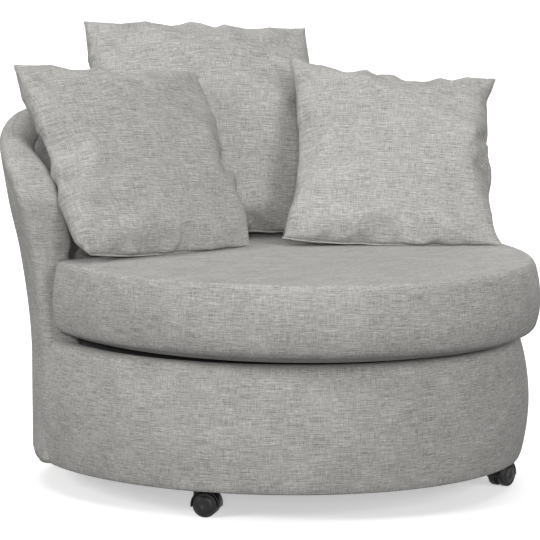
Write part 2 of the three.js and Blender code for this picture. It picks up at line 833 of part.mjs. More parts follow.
function casterWheel(side) {
  const [inner, outer] = [wheelInnerFace, wheelInnerFace + wheelWidth];
  const profile = [
    new THREE.Vector2(0, inner + wheelBoreDepth),
    new THREE.Vector2(axleRadius + gap, inner + wheelBoreDepth),
    new THREE.Vector2(axleRadius + gap, inner),
    new THREE.Vector2(wheelHubRadius, inner),
    new THREE.Vector2(wheelHubRadius, inner + wheelRecess),
    new THREE.Vector2(wheelRadius - 2 * wheelEdge, inner + wheelRecess),
    new THREE.Vector2(wheelRadius - wheelEdge, inner),
    new THREE.Vector2(wheelRadius, inner + wheelEdge),
    new THREE.Vector2(wheelRadius, outer - wheelEdge),
    new THREE.Vector2(wheelRadius - wheelEdge, outer),
    new THREE.Vector2(0, outer + wheelDish),
  ];
  const wheel = new THREE.LatheGeometry(profile, wheelSides);
  if (side < 0) wheel.rotateZ(Math.PI);
  return wheel.translate(trail, 0, axleHeight);
}

// The casters stand where the chair last rolled: each trails a little off the circle round the seat.
const atFront = (side) => frontPoint(side * casterFrontTurn * degree, casterInset, 0);
const atBack = (side) => wallPoint(quarter + side * (quarter - casterBackTurn * degree), 0, casterInset);
const casters = [
  { name: "front_left", place: atFront(-1), turned: 5 },
  { name: "front_right", place: atFront(1), turned: -20 },
  { name: "back_left", place: atBack(-1), turned: -9 },
  { name: "back_right", place: atBack(1), turned: 6 },
];

function addCaster({ name, place: { x, y }, turned }) {
  const mount = new THREE.Group();
  mount.position.set(x, y, 0);
  const outward = Math.atan2(y, x);
  mount.rotation.z = outward;
  addPiece("caster_plate_" + name, casterPlate(), zincSteel(), mount);
  const swivel = new THREE.Group();
  swivel.rotation.z = quarter + turned * degree;
  addPiece("caster_hood_" + name, casterHood(), blackNylon(), swivel);
  addPiece("caster_axle_" + name, casterAxle(), zincSteel(), swivel);
  addPiece("caster_wheel_" + name + "_1", casterWheel(1), blackNylon(), swivel);
  addPiece("caster_wheel_" + name + "_2", casterWheel(-1), blackNylon(), swivel);
  mount.add(swivel);
  chair.add(mount);
}

// Assembly

function addFrame() {
  const postAngles = [-68, -34, 0, 34, 68];
  const stayCount = 7;
  addPiece("bottom_ring", bottomRing(), plywoodBirch());
  addPiece("deck_ring", deckRing(), plywoodBirch());
  postAngles.forEach((angle, i) => addPiece("base_post_" + (i + 1), basePost(angle * degree), hardwood()));
  for (let i = 0; i < stayCount; i++) {
    const turn = turns[Math.round((planSegments * (i + 1)) / (stayCount + 1))];
    addPiece("back_stay_" + (i + 1), backStay(turn), hardwood());
  }
  addPiece("arm_board_left", armBoard(-1), plywoodBirch());
  addPiece("arm_board_right", armBoard(1), plywoodBirch());
  addPiece("top_rail", topRail(), plywoodBirch());
  addPiece("front_board", frontBoard(), fibreboard());
}

function addUpholstery() {
  addPiece("outer_back_cover", outerBackCover(), linenWeave());
  addPiece("inner_back_pad", innerBackPad(), linenWeave());
  addPiece("edge_roll", edgeRoll(), linenWeave());
  addPiece("front_band", frontBand(), linenWeave());
  addPiece("dust_cover", dustCover(), blackNonwoven());
}

function addSeat() {
  const middle = (springCount - 1) / 2;
  for (let i = 0; i < springCount; i++)
    addPiece("seat_spring_" + (i + 1), seatSpring((i - middle) * springSpacing), springSteel());
  addPiece("deck_pad", deckPad(), blackNonwoven());
  addPiece("seat_cushion_cover", cushionCover(), linenWeave());
  addPiece("seat_cushion_foam", cushionForm(-coverWall - gap), seatFoam());
}

function addPillows() {
  const seat = solidOf(cushionForm(gap));
  for (const [name, pillow] of Object.entries(pillows))
    addPiece(name, placedPillow(pillow).subtract(seat), linenWeave());
}

addFrame();
addUpholstery();
addSeat();
addPillows();
casters.forEach(addCaster);

// The origin is on the floor under the middle of the whole chair's box.
const middle = new THREE.Box3().setFromObject(chair).getCenter(new THREE.Vector3());
chair.position.set(-middle.x, -middle.y, 0);

export default chair;
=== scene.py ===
"""A round upholstered cuddle chair on four hooded twin-wheel casters, dressed over its CAD frame.

Lengths are millimetres in the chair's own plan (x across, -y the front) until shape() puts them in metres.
"""

import math

import bmesh
import bpy
import numpy as np
from mathutils import Matrix, Vector, noise


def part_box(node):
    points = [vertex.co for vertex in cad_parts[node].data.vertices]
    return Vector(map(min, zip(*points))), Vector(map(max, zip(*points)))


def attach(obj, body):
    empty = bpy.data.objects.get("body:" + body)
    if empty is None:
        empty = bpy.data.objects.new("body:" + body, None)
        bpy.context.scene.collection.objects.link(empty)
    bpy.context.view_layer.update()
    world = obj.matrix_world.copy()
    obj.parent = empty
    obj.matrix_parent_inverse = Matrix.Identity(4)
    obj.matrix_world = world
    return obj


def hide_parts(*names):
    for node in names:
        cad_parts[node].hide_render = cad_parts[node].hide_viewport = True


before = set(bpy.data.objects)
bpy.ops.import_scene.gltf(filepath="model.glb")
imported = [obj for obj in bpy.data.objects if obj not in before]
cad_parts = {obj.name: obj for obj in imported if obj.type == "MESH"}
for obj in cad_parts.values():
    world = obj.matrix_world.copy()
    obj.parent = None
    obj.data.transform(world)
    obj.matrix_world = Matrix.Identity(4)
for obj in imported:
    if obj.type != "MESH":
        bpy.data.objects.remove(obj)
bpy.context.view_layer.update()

MM = 0.001
QUARTER = math.pi / 2

# Plan and heights, as in the CAD
BAND_HALF_WIDTH = 502
BAND_REACH = 555
BARREL_HALF_WIDTH = 510
BARREL_BACK_REACH = 495
SIDE_FLARE = 70
BACK_FLARE = 80
FLARE_START = 250
FLARE_END = 860
HEM_HEIGHT = 56
DECK_TOP = 288
ARM_TOP = 622
BACK_TOP = 768
TOP_RISE_POWER = 4.8
WALL_THICKNESS = 82
ARM_FRONT_Y = 35
ROLL_DEPTH = 45
ROLL_BACK_Y = ARM_FRONT_Y + ROLL_DEPTH
ARM_CORNER_RADIUS = 40
ROLL_INNER_LEAN = 18
SIDE_SWELL = 8
ARM_SWELL = 10
PAD_INSET = 36
COVER_THICKNESS = 6
FRAME_FRONT_INSET = 15.6

CUSHION_HALF_WIDTH = 500
CUSHION_REACH = 631
CUSHION_FRONT_POWER = 2.15
CUSHION_CLEARANCE = 3
CUSHION_BOTTOM = 317.4
CUSHION_TOP = 475.4
CUSHION_CROWN = 4
EAR_CORNER_RADIUS = 34

WHEEL_RADIUS = 25
WHEEL_WIDTH = 15
TRAIL = 16
HOOD_HALF_WIDTH = 17.5
AXLE_PLACE = (TRAIL, 0, WHEEL_RADIUS)
# For each caster its place in plan and how far it is swivelled, in degrees
CASTERS = {
    "front_left": (-342.38, -342.6, 5),
    "front_right": (342.38, -342.6, -20),
    "back_left": (-337.78, 313.54, -9),
    "back_right": (337.78, 313.54, 6),
}


def plan_origin():
    """Where the middle of the chair's own plan lies in the CAD frame, in metres."""
    low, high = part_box("deck_ring")
    return np.array([(low.x + high.x) / 2, low.y + (BAND_REACH - FRAME_FRONT_INSET) * MM, 0])


ORIGIN = plan_origin()


# Colours and materials


def linear(code):
    """An sRGB hex colour as linear RGBA."""
    channels = [int(code[i : i + 2], 16) / 255 for i in (1, 3, 5)]
    return (*(c / 12.92 if c <= 0.04045 else ((c + 0.055) / 1.055) ** 2.4 for c in channels), 1)


def set_inputs(tree, node, inputs):
    """Links sockets to a node's inputs and sets constants on them."""
    for key, value in inputs.items():
        if isinstance(value, bpy.types.NodeSocket):
            tree.links.new(value, node.inputs[key])
        else:
            node.inputs[key].default_value = value


def add_node(tree, kind, inputs=None, **settings):
    node = tree.nodes.new(kind)
    for name, value in settings.items():
        setattr(node, name, value)
    set_inputs(tree, node, inputs or {})
    return node


def new_material(name):
    material = bpy.data.materials.new(name)
    material.use_nodes = True
    tree = material.node_tree
    shader = tree.nodes["Principled BSDF"]
    return material, tree, shader


def ramp(tree, factor, stops):
    """A colour ramp through (place, hex colour) stops."""
    node = add_node(tree, "ShaderNodeValToRGB", {"Fac": factor})
    elements = node.color_ramp.elements
    while len(elements) < len(stops):
        elements.new(0.5)
    for element, (place, code) in zip(elements, stops):
        element.position = place
        element.color = linear(code)
    return node.outputs["Color"]


def stretched_noise(tree, coordinates, size, detail=2, shift=(0, 0, 0)):
    """Noise whose grains measure about size millimetres along each coordinate in metres."""
    scale = [1 / (part * MM) for part in size]
    placed = add_node(tree, "ShaderNodeMapping", {"Vector": coordinates, "Scale": scale, "Location": shift})
    settings = {"Vector": placed.outputs[0], "Scale": 1, "Detail": detail, "Roughness": 0.55}
    return add_node(tree, "ShaderNodeTexNoise", settings).outputs["Fac"]


def maths(tree, operation, *values):
    return add_node(tree, "ShaderNodeMath", dict(enumerate(values)), operation=operation).outputs[0]


def upright(tree, vector):
    """The z part of a vector."""
    return add_node(tree, "ShaderNodeSeparateXYZ", {0: vector}).outputs[2]


def weighted(tree, terms):
    """The sum of (socket, weight) terms, each taken about its middle, around one half."""
    total = None
    for socket, weight in terms:
        term = maths(tree, "MULTIPLY_ADD", socket, weight, -weight / 2)
        total = maths(tree, "ADD", term, 0.5 if total is None else total)
    return total


def bumped(tree, shader, height, distance, strength):
    settings = {"Height": height, "Distance": distance * MM, "Strength": strength}
    bump = add_node(tree, "ShaderNodeBump", settings)
    tree.links.new(bump.outputs[0], shader.inputs["Normal"])


def linen(name, shades, shift=0):
    """Slubby plain weave in the piece's own weave coordinates: thick and thin threads both ways."""
    material, tree, shader = new_material(name)
    cloth = add_node(tree, "ShaderNodeUVMap", uv_map="weave").outputs[0]
    grain = {
        "weft_slub": ((46, 1.5, 1), 1.1),
        "warp_slub": ((1.5, 34, 1), 0.6),
        "weft": ((12, 0.9, 1), 1.0),
        "warp": ((0.9, 12, 1), 0.7),
        "cloud": ((90, 60, 1), 0.25),
    }
    threads = []
    for i, (size, weight) in enumerate(grain.values()):
        offset = (shift + 7.3 * i, shift * 0.7 + 3.1 * i, i)
        threads.append((stretched_noise(tree, cloth, size, shift=offset), weight))
    value = weighted(tree, threads)
    stops = [(0.15, shades[0]), (0.4, shades[1]), (0.6, shades[2]), (0.85, shades[3])]
    set_inputs(tree, shader, {
        "Base Color": ramp(tree, value, stops), "Roughness": 0.92, "Specular IOR Level": 0.2,
        "Sheen Weight": 0.05, "Sheen Roughness": 0.55,
    })
    bumped(tree, shader, value, 0.7, 0.4)
    return material


def wood(name, shades, size, roughness=0.6, laminated=False):
    """Grain with fine pores along it; laminated wood shows its plies on upright faces."""
    ply_pair = 2.6 * MM
    material, tree, shader = new_material(name)
    place = add_node(tree, "ShaderNodeTexCoord").outputs["Object"]
    grain = stretched_noise(tree, place, size, detail=4)
    pores = stretched_noise(tree, place, [part / 6 for part in size])
    value = weighted(tree, [(grain, 1.3), (pores, 0.5)])
    colour = ramp(tree, value, [(0.2, shades[0]), (0.5, shades[1]), (0.85, shades[2])])
    if laminated:
        ply = maths(tree, "SINE", maths(tree, "MULTIPLY", upright(tree, place), 2 * math.pi / ply_pair))
        face = add_node(tree, "ShaderNodeNewGeometry").outputs["Normal"]
        steep = maths(tree, "SUBTRACT", 1, maths(tree, "ABSOLUTE", upright(tree, face)))
        edge = maths(tree, "MULTIPLY", steep, maths(tree, "MULTIPLY_ADD", ply, 0.2, 0.2))
        colour = add_node(tree, "ShaderNodeMixRGB", {0: edge, 1: colour, 2: linear(shades[0])}).outputs[0]
    set_inputs(tree, shader, {"Base Color": colour, "Roughness": roughness})
    bumped(tree, shader, value, 0.4, 0.3)
    return material


def metal(name, shades, roughness):
    material, tree, shader = new_material(name)
    place = add_node(tree, "ShaderNodeTexCoord").outputs["Object"]
    value = weighted(tree, [(stretched_noise(tree, place, (9, 9, 9), detail=4), 1.2)])
    colour = ramp(tree, value, [(0.25, shades[0]), (0.75, shades[1])])
    rough = maths(tree, "MULTIPLY_ADD", value, 0.25, roughness)
    set_inputs(tree, shader, {"Base Color": colour, "Metallic": 1, "Roughness": rough})
    bumped(tree, shader, value, 0.1, 0.2)
    return material


def speckled(name, shades, size, roughness, distance=0.3, sheen=0, shine=0.5):
    """Moulded nylon, foam, felt and board: a fine even grain."""
    material, tree, shader = new_material(name)
    place = add_node(tree, "ShaderNodeTexCoord").outputs["Object"]
    fine = stretched_noise(tree, place, (size, size, size), detail=3)
    broad = stretched_noise(tree, place, (size * 14, size * 14, size * 14))
    value = weighted(tree, [(fine, 1.2), (broad, 0.6)])
    set_inputs(tree, shader, {
        "Base Color": ramp(tree, value, [(0.25, shades[0]), (0.75, shades[1])]),
        "Roughness": roughness, "Sheen Weight": sheen, "Specular IOR Level": shine,
    })
    bumped(tree, shader, fine, distance, 0.5)
    return material


LINEN_SHADES = ("#767470", "#9b9996", "#aba9a6", "#cac9c6")
MATERIALS = {
    "linen_fabric": linen("linen_fabric", LINEN_SHADES),
    "pillow_fabric": linen("pillow_fabric", LINEN_SHADES, shift=13),
    "seat_foam": speckled("seat_foam", ("#ddd3b4", "#efe8d2"), 2.5, 0.95, 0.8),
    "deck_felt": speckled("deck_felt", ("#1b1b1c", "#2c2c2e"), 1.8, 0.95, 0.5, 0.1),
    "dust_cloth": speckled("dust_cloth", ("#151516", "#29292b"), 1.2, 0.9, 0.3, 0.1),
    "plywood": wood("plywood", ("#a8814f", "#cba876", "#dcc096"), (110, 7, 7), 0.65, laminated=True),
    "hardwood": wood("hardwood", ("#93683c", "#b88a58", "#caa070"), (6, 6, 90)),
    "fibreboard": speckled("fibreboard", ("#745b3b", "#9b7d56"), 1.6, 0.85),
    "spring_steel": metal("spring_steel", ("#77797c", "#a0a3a6"), 0.28),
    "zinc_steel": metal("zinc_steel", ("#a5a8ab", "#c9cccf"), 0.25),
    "black_hood": speckled("black_hood", ("#0a0a0a", "#131313"), 0.8, 0.42, 0.08, shine=0.3),
    "black_wheel": speckled("black_wheel", ("#0e0e0d", "#191918"), 0.8, 0.45, 0.1, shine=0.3),
}


# Meshes


def shape(name, points, faces, weave=None, slot="linen_fabric", body="chair", node=None, fill=None):
    """A finished piece from points in mm, faces, and each face's weave coordinates in mm."""
    mesh = bpy.data.meshes.new(name)
    placed = np.asarray(points, float) * MM + ORIGIN
    mesh.from_pydata(placed.tolist(), [], [list(map(int, face)) for face in faces])
    if weave is not None:
        flat = np.concatenate([np.asarray(corners, float) for corners in weave]) * MM
        mesh.uv_layers.new(name="weave").data.foreach_set("uv", flat.astype(np.float32).ravel())
    solid = bmesh.new()
    solid.from_mesh(mesh)
    bmesh.ops.recalc_face_normals(solid, faces=solid.faces)
    solid.to_mesh(mesh)
    solid.free()
    mesh.shade_smooth()
    mesh.materials.append(MATERIALS[slot])
    piece = bpy.data.objects.new(name, mesh)
    bpy.context.scene.collection.objects.link(piece)
    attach(piece, body)
    if node:
        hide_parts(node)
    return piece


def swept(rows, weave, capped=True):
    """Points, faces and weave corners of closed sections carried along a path.

    A row of weave has one place more than its section has points, where the section closes.
    """
    rows = np.asarray(rows, float)
    count, cols = rows.shape[:2]
    faces, corners = [], []
    for r in range(count - 1):
        for c in range(cols):
            n = (c + 1) % cols
            faces.append((r * cols + c, r * cols + n, (r + 1) * cols + n, (r + 1) * cols + c))
            corners.append((weave[r][c], weave[r][c + 1], weave[r + 1][c + 1], weave[r + 1][c]))
    if capped:
        for r in (0, count - 1):
            faces.append([r * cols + c for c in range(cols)])
            corners.append(weave[r][:cols])
    return rows.reshape(-1, 3), faces, corners


def plain_surface(name, rings, slot, node, body="chair", fill=None):
    """A piece without a weave, from rings of points closed by its first and last ones."""
    points, faces, _ = swept(rings, np.zeros((len(rings), len(rings[0]) + 1, 2)))
    return shape(name, points, faces, slot=slot, node=node, body=body, fill=fill)


def lengths_along(points):
    steps = np.linalg.norm(np.diff(np.asarray(points, float), axis=0), axis=1)
    return np.concatenate([[0], np.cumsum(steps)])


def wrapped(name, rows, middle, node, fill, turned=False):
    """A padded cover of closed sections, its weave following it lengthwise and round, or turned across it."""
    weave = []
    for row, along in zip(rows, lengths_along(rows[:, middle])):
        places = [(along, around) for around in lengths_along(np.vstack([row, row[:1]]))]
        weave.append([place[::-1] for place in places] if turned else places)
    points, faces, corners = swept(rows, weave)
    shape(name, points, faces, corners, node=node, fill=fill)


def resampled(points, count):
    """The same closed line through evenly spaced points."""
    points = np.vstack([points, points[:1]])
    along = lengths_along(points)
    wanted = np.linspace(0, along[-1], count + 1)[:-1]
    return np.stack([np.interp(wanted, along, points[:, k]) for k in (0, 1)], 1)


def rounded(points):
    """The open line with each corner cut off between its neighbours."""
    points = np.asarray(points, float)
    before, following = points[:-1], points[1:]
    cut = np.stack([before * 0.75 + following * 0.25, before * 0.25 + following * 0.75], 1)
    return np.vstack([points[:1], cut.reshape(-1, 2), points[-1:]])


def ripple(place, wavelength, seed):
    """Smooth noise about zero, in a place given in mm."""
    return noise.noise(Vector(place) / wavelength + Vector((seed, seed * 1.7, -seed)))


# The barrel wall


def smooth(share):
    share = min(max(share, 0), 1)
    return share * share * (3 - 2 * share)


def flare(z):
    return smooth((z - FLARE_START) / (FLARE_END - FLARE_START))


def side_swell(turn, z, inset):
    """How far the padding pushes the outer side of the arms out near their tops, in mm."""
    foot, rise, skin, reach = 480, 110, 8, 40
    near_arm = smooth((0.9 - min(turn, math.pi - turn)) / 0.8)
    near_face = 1 - smooth((inset - skin) / reach)
    return SIDE_SWELL * smooth((z - foot) / rise) * near_arm * near_face


def wall_point(turn, z, inset):
    """turn 0 is the left arm, a quarter turn the middle of the back, half a turn the right arm."""
    side = BARREL_HALF_WIDTH + SIDE_FLARE * flare(z) - inset + side_swell(turn, z, inset)
    back = BARREL_BACK_REACH + BACK_FLARE * flare(z) - inset
    return np.array([-side * math.cos(turn), back * math.sin(turn), z])


def turn_at_y(y, z, inset):
    return math.asin(min(y / (BARREL_BACK_REACH + BACK_FLARE * flare(z) - inset), 1))


ARM_TURN = turn_at_y(ARM_FRONT_Y, ARM_TOP, 0)


def top_at(turn):
    from_arm = min(turn, math.pi - turn)
    share = min(max((from_arm - ARM_TURN) / (QUARTER - ARM_TURN), 0), 1)
    return ARM_TOP + (BACK_TOP - ARM_TOP) * (1 - (1 - share) ** TOP_RISE_POWER)


def wall_column(share, inset, gap, z_from, count):
    """One upright line of points on a wall face, from z_from up to the roll, with a gap to it."""

    def turn_at(z):
        start = turn_at_y(ROLL_BACK_Y + gap, z, inset)
        return start + share * (math.pi - 2 * start)

    top = BACK_TOP - ROLL_DEPTH - gap
    for _ in range(12):
        top = top_at(turn_at(top)) - ROLL_DEPTH - gap
    return [wall_point(turn_at(z), z, inset) for z in np.linspace(z_from, top, count)]


def wall_shell(name, node, shown, hidden, gap, z_from, profile, fill, count=160):
    """A layer of the wall as a closed shell between two insets.

    profile(share, height share, point) moves its shown face, in mm.
    """
    levels = 42
    rows = []
    for share in np.linspace(0, 1, count):
        face = wall_column(share, shown, gap, z_from, levels)
        back = wall_column(share, hidden, gap, z_from, levels)
        line = []
        for i, (point, behind) in enumerate(zip(face, back)):
            outward = point - behind
            outward /= np.linalg.norm(outward)
            line.append(point + outward * profile(share, i / (levels - 1), point))
        rows.append(line + back[::-3] + [back[0]])
    wrapped(name, np.array(rows), levels // 2, node, fill)


def edge_softness(share, radius_share, depth):
    """How far a padded face falls back near an edge, where share runs 0 to 1 between edges."""
    near = min(share, 1 - share) / radius_share
    return -depth * (1 - math.sqrt(1 - (1 - near) ** 2)) if near < 1 else 0


def outer_cover():
    seams = (0.3, 0.7)
    seam_depth, seam_width = 1.8, 3.5
    cover_length = 1500

    def profile(share, level, point):
        away = min(abs(share - seam) for seam in seams) * cover_length
        tension = 1.1 * ripple(point, 190, 3) + 0.5 * ripple((point[0], point[1], point[2] / 3), 60, 5)
        seam = seam_depth * math.exp(-((away / seam_width) ** 2))
        return 0.6 + tension - seam + edge_softness(level, 0.012, 4)

    wall_shell("outer_cover", "outer_back_cover", 0, COVER_THICKNESS, 0.08, HEM_HEIGHT, profile, 0.3, 400)


def inner_pad():
    start = turn_at_y(ROLL_BACK_Y, BACK_TOP, 0)

    def profile(share, level, point):
        crown = 3 * math.sin(math.pi * level) + 2.2 * ripple(point, 120, 8)
        lean = ROLL_INNER_LEAN * inward_slope(start + share * 2.8) * math.exp(-(1 - level) * 6)
        return crown - lean + edge_softness(level, 0.02, 4) + edge_softness(share, 0.006, 5)

    wall_shell("inner_pad", "inner_back_pad", WALL_THICKNESS, PAD_INSET, 0.6, DECK_TOP + 0.3, profile, 0.6)


# The padded roll up the arm fronts and along the top edge


def inward_slope(turn):
    """How far the wall's top leans inward, from 0 at the arms to 1 round the back."""
    return smooth((math.degrees(min(turn, math.pi - turn)) - 7) / 16)


def roll_section(slope):
    """(inset, depth) round the roll, from its inner hidden edge over the shown face to the outer one.

    slope runs from 0, a rounded box, to 1, a crest near the outer side that falls away inward.
    """
    inner_edge = WALL_THICKNESS - ROLL_INNER_LEAN * slope
    radius = 23 + 6 * slope
    reach, fall = 23 + 14 * slope, 23 + 18 * slope
    swell = 1.2 * (1 - slope)
    crown = 2.5 * (1 - slope)
    shoulder = crown * 0.4
    stand = 0.6
    steps = 9
    points = [(inner_edge - 1.5, ROLL_DEPTH), (inner_edge + swell / 2, ROLL_DEPTH - 3 + 2 * slope)]
    points.append((inner_edge + swell, 33 + 10 * slope))
    for angle in np.linspace(0, QUARTER, steps):
        across = inner_edge - reach + (reach + swell) * math.cos(angle)
        points.append((across, fall - (fall + shoulder) * math.sin(angle)))
    points.append(((inner_edge - reach + radius) / 2, -crown))
    for angle in np.linspace(QUARTER, math.pi, steps):
        across = radius + (radius + stand) * math.cos(angle)
        points.append((across, radius - (radius + shoulder) * math.sin(angle)))
    points += [(-stand, 35), (-stand, ROLL_DEPTH - 3), (-stand, ROLL_DEPTH)]
    return rounded(points)


def roll_stations():
    """The edge that shows and the edge that is hidden, as (distance behind the front or turn, height)."""
    corner_turn = turn_at_y(ROLL_BACK_Y, ARM_TOP, 0)
    hidden_corner = top_at(corner_turn) - ROLL_DEPTH
    stations = []
    shown_rise = ARM_TOP - ARM_CORNER_RADIUS - HEM_HEIGHT
    hidden_rise = hidden_corner - ARM_CORNER_RADIUS / 2 - HEM_HEIGHT
    for share in np.linspace(0, 1, 44):
        shown = ("y", ARM_FRONT_Y, HEM_HEIGHT + shown_rise * share)
        stations.append((shown, ("y", ROLL_BACK_Y, HEM_HEIGHT + hidden_rise * share)))
    for share in np.linspace(0, 1, 11)[1:-1]:
        y = ARM_FRONT_Y + ARM_CORNER_RADIUS * (1 - math.cos(share * QUARTER))
        z = top_at(turn_at_y(y, ARM_TOP, 0)) - ARM_CORNER_RADIUS * (1 - math.sin(share * QUARTER))
        if share > 0.5:
            turn = turn_at_y(ROLL_BACK_Y + ARM_CORNER_RADIUS * (share - 0.5), ARM_TOP, 0)
            hidden = ("turn", turn, top_at(turn) - ROLL_DEPTH)
        else:
            hidden = ("y", ROLL_BACK_Y, hidden_corner + ARM_CORNER_RADIUS * (share - 0.5))
        stations.append((("y", y, z), hidden))
    start = corner_turn + 0.035
    over = np.linspace(start, math.pi - start, 181)
    middle = [(("turn", turn, top_at(turn)), ("turn", turn, top_at(turn) - ROLL_DEPTH)) for turn in over]
    return stations, middle


def on_edge(place, inset):
    kind, value, z = place
    return wall_point(turn_at_y(value, z, inset) if kind == "y" else value, z, inset)


def arm_swell(z):
    """How far the arm front's inner side is pushed out by its filling above the seat cushion, 0 to 1."""
    foot, rise, head, fall = 479, 28, 640, 90
    return smooth((z - foot) / rise) * smooth((head - z) / fall)


def edge_roll():
    stations, middle = roll_stations()

    def ring(shown, hidden, mirrored):
        kind, value, z = shown
        slope = inward_slope(value) if kind == "turn" else 0
        swell = ARM_SWELL * arm_swell(z) if kind == "y" else 0
        points = []
        for inset, depth in roll_section(slope):
            inset = min(inset, WALL_THICKNESS + 2)
            inset += swell * smooth((inset - 30) / 45)
            near, far = on_edge(shown, inset), on_edge(hidden, inset)
            point = near + (far - near) * depth / ROLL_DEPTH
            points.append(point * (-1, 1, 1) if mirrored else point)
        return points

    rows = [ring(*station, False) for station in stations + middle]
    rows += [ring(*station, True) for station in reversed(stations)]
    rows = np.array(rows)
    for row in rows:
        centre = row.mean(0)
        for c, point in enumerate(row):
            outward = point - centre
            outward /= np.linalg.norm(outward)
            row[c] = point + outward * (1.3 * ripple(point, 85, 2) + 0.5 * ripple(point, 26, 4))
    wrapped("arm_and_top_roll", rows, rows.shape[1] // 2, "edge_roll", 0.8, turned=True)


# The front band of the base


def front_point(angle, inset, z):
    return np.array([(BAND_HALF_WIDTH - inset) * math.sin(angle), -(BAND_REACH - inset) * math.cos(angle), z])


def front_band():
    """Padding wrapped in fabric from the hem, over the crowned front and down behind the cushion's edge."""
    crown, rise = 17, 240
    shares = np.linspace(0, 1, 22)
    outer = [(-crown * (1 - (2 * share - 1) ** 2), HEM_HEIGHT + rise * share) for share in shares]
    outer[0] = (1.5, HEM_HEIGHT + 1)
    lip = [(2, 299), (5.5, 303.5), (11, 307.4), (18, 309.8), (27, 310.6), (42, 308), (60, 304), (62, 298)]
    behind = [(62, 288.5), (40, 288.4), (10, 288.4), (10, 200), (10, HEM_HEIGHT)]
    section = rounded([(4, HEM_HEIGHT), *outer, *lip, *behind])
    end_y = ARM_FRONT_Y - 0.5
    end_softness, softened = 12, 14

    def end_point(side, share, inset, z):
        """On the straight stretch beside the arm, whose end is rounded on its shown face."""
        y = end_y * (1 - share)
        near = (end_y - y) / softened
        soft = end_softness * (1 - math.sqrt(1 - (1 - near) ** 2)) if near < 1 else 0
        soft *= max(0, min(1, (10 - inset) / 10))
        return side * (BAND_HALF_WIDTH - inset - soft), y, z - soft if z > 290 else z

    straight = (0, 0.03, 0.08, 0.16, 0.3, 0.5, 0.75)
    angles = np.linspace(-QUARTER, QUARTER, 150)
    rows = [[end_point(-1, share, *place) for place in section] for share in straight]
    rows += [[front_point(angle, *place) for place in section] for angle in angles]
    rows += [[end_point(1, share, *place) for place in section] for share in reversed(straight)]
    rows = np.array(rows)
    for row in rows:
        for c, point in enumerate(row):
            if section[c][0] < 9:
                away = point * (1, 1, 0)
                away /= np.linalg.norm(away)
                row[c] = point + away * (1.2 * ripple(point, 150, 6) + 0.4 * ripple(point, 40, 9))
    wrapped("front_band_cover", rows, 14, "front_band", 0.7)


# The seat cushion


def cushion_outline(count):
    """The T-shaped plan: full width before the arms, narrower between them."""
    ear_y = ARM_FRONT_Y - CUSHION_CLEARANCE
    back_width = BARREL_HALF_WIDTH - WALL_THICKNESS - CUSHION_CLEARANCE
    back_reach = BARREL_BACK_REACH - WALL_THICKNESS - CUSHION_CLEARANCE
    power = 2 / CUSHION_FRONT_POWER
    line = []
    for angle in np.linspace(-QUARTER, QUARTER, 181):
        x = math.copysign(abs(math.sin(angle)) ** power, angle) * CUSHION_HALF_WIDTH
        line.append((x, -CUSHION_REACH * abs(math.cos(angle)) ** power))
    ear = []
    for angle in np.linspace(0, QUARTER, 12):
        x = CUSHION_HALF_WIDTH - EAR_CORNER_RADIUS * (1 - math.cos(angle))
        ear.append((x, ear_y - EAR_CORNER_RADIUS * (1 - math.sin(angle))))
    start = math.asin(ARM_FRONT_Y / back_reach)
    turns = np.linspace(start, math.pi - start, 90)
    back = [(back_width * math.cos(turn), back_reach * math.sin(turn)) for turn in turns]
    left = [(-x, y) for x, y in reversed(ear)]
    return resampled(line + ear + back + left, count)


OUTLINE = cushion_outline(320)
OUTLINE_ANGLES = np.unwrap(np.arctan2(OUTLINE[:, 1], OUTLINE[:, 0]))
OUTLINE_REACH = np.hypot(OUTLINE[:, 0], OUTLINE[:, 1])


def outline_share(x, y):
    """How far out a place lies on the cushion, from 0 in its middle to 1 on its outline."""
    angles = (math.atan2(y, x) - OUTLINE_ANGLES[0]) % (2 * math.pi) + OUTLINE_ANGLES[0]
    closing = np.append(OUTLINE_ANGLES, OUTLINE_ANGLES[0] + 2 * math.pi)
    reach = np.interp(angles, closing, np.append(OUTLINE_REACH, OUTLINE_REACH[0]))
    return math.hypot(x, y) / reach


def crown_height(inset):
    """The cushion's top above its rim, by the distance in from the rim."""
    share = min(max(inset / CUSHION_HALF_WIDTH, 0), 1)
    return CUSHION_CROWN * (1 - (1 - share) ** 3.4)


def seat_height(x, y):
    inset = (1 - outline_share(x, y)) * CUSHION_HALF_WIDTH
    return CUSHION_TOP + crown_height(inset - 6) - max(0, 14 - inset) ** 2 / 20


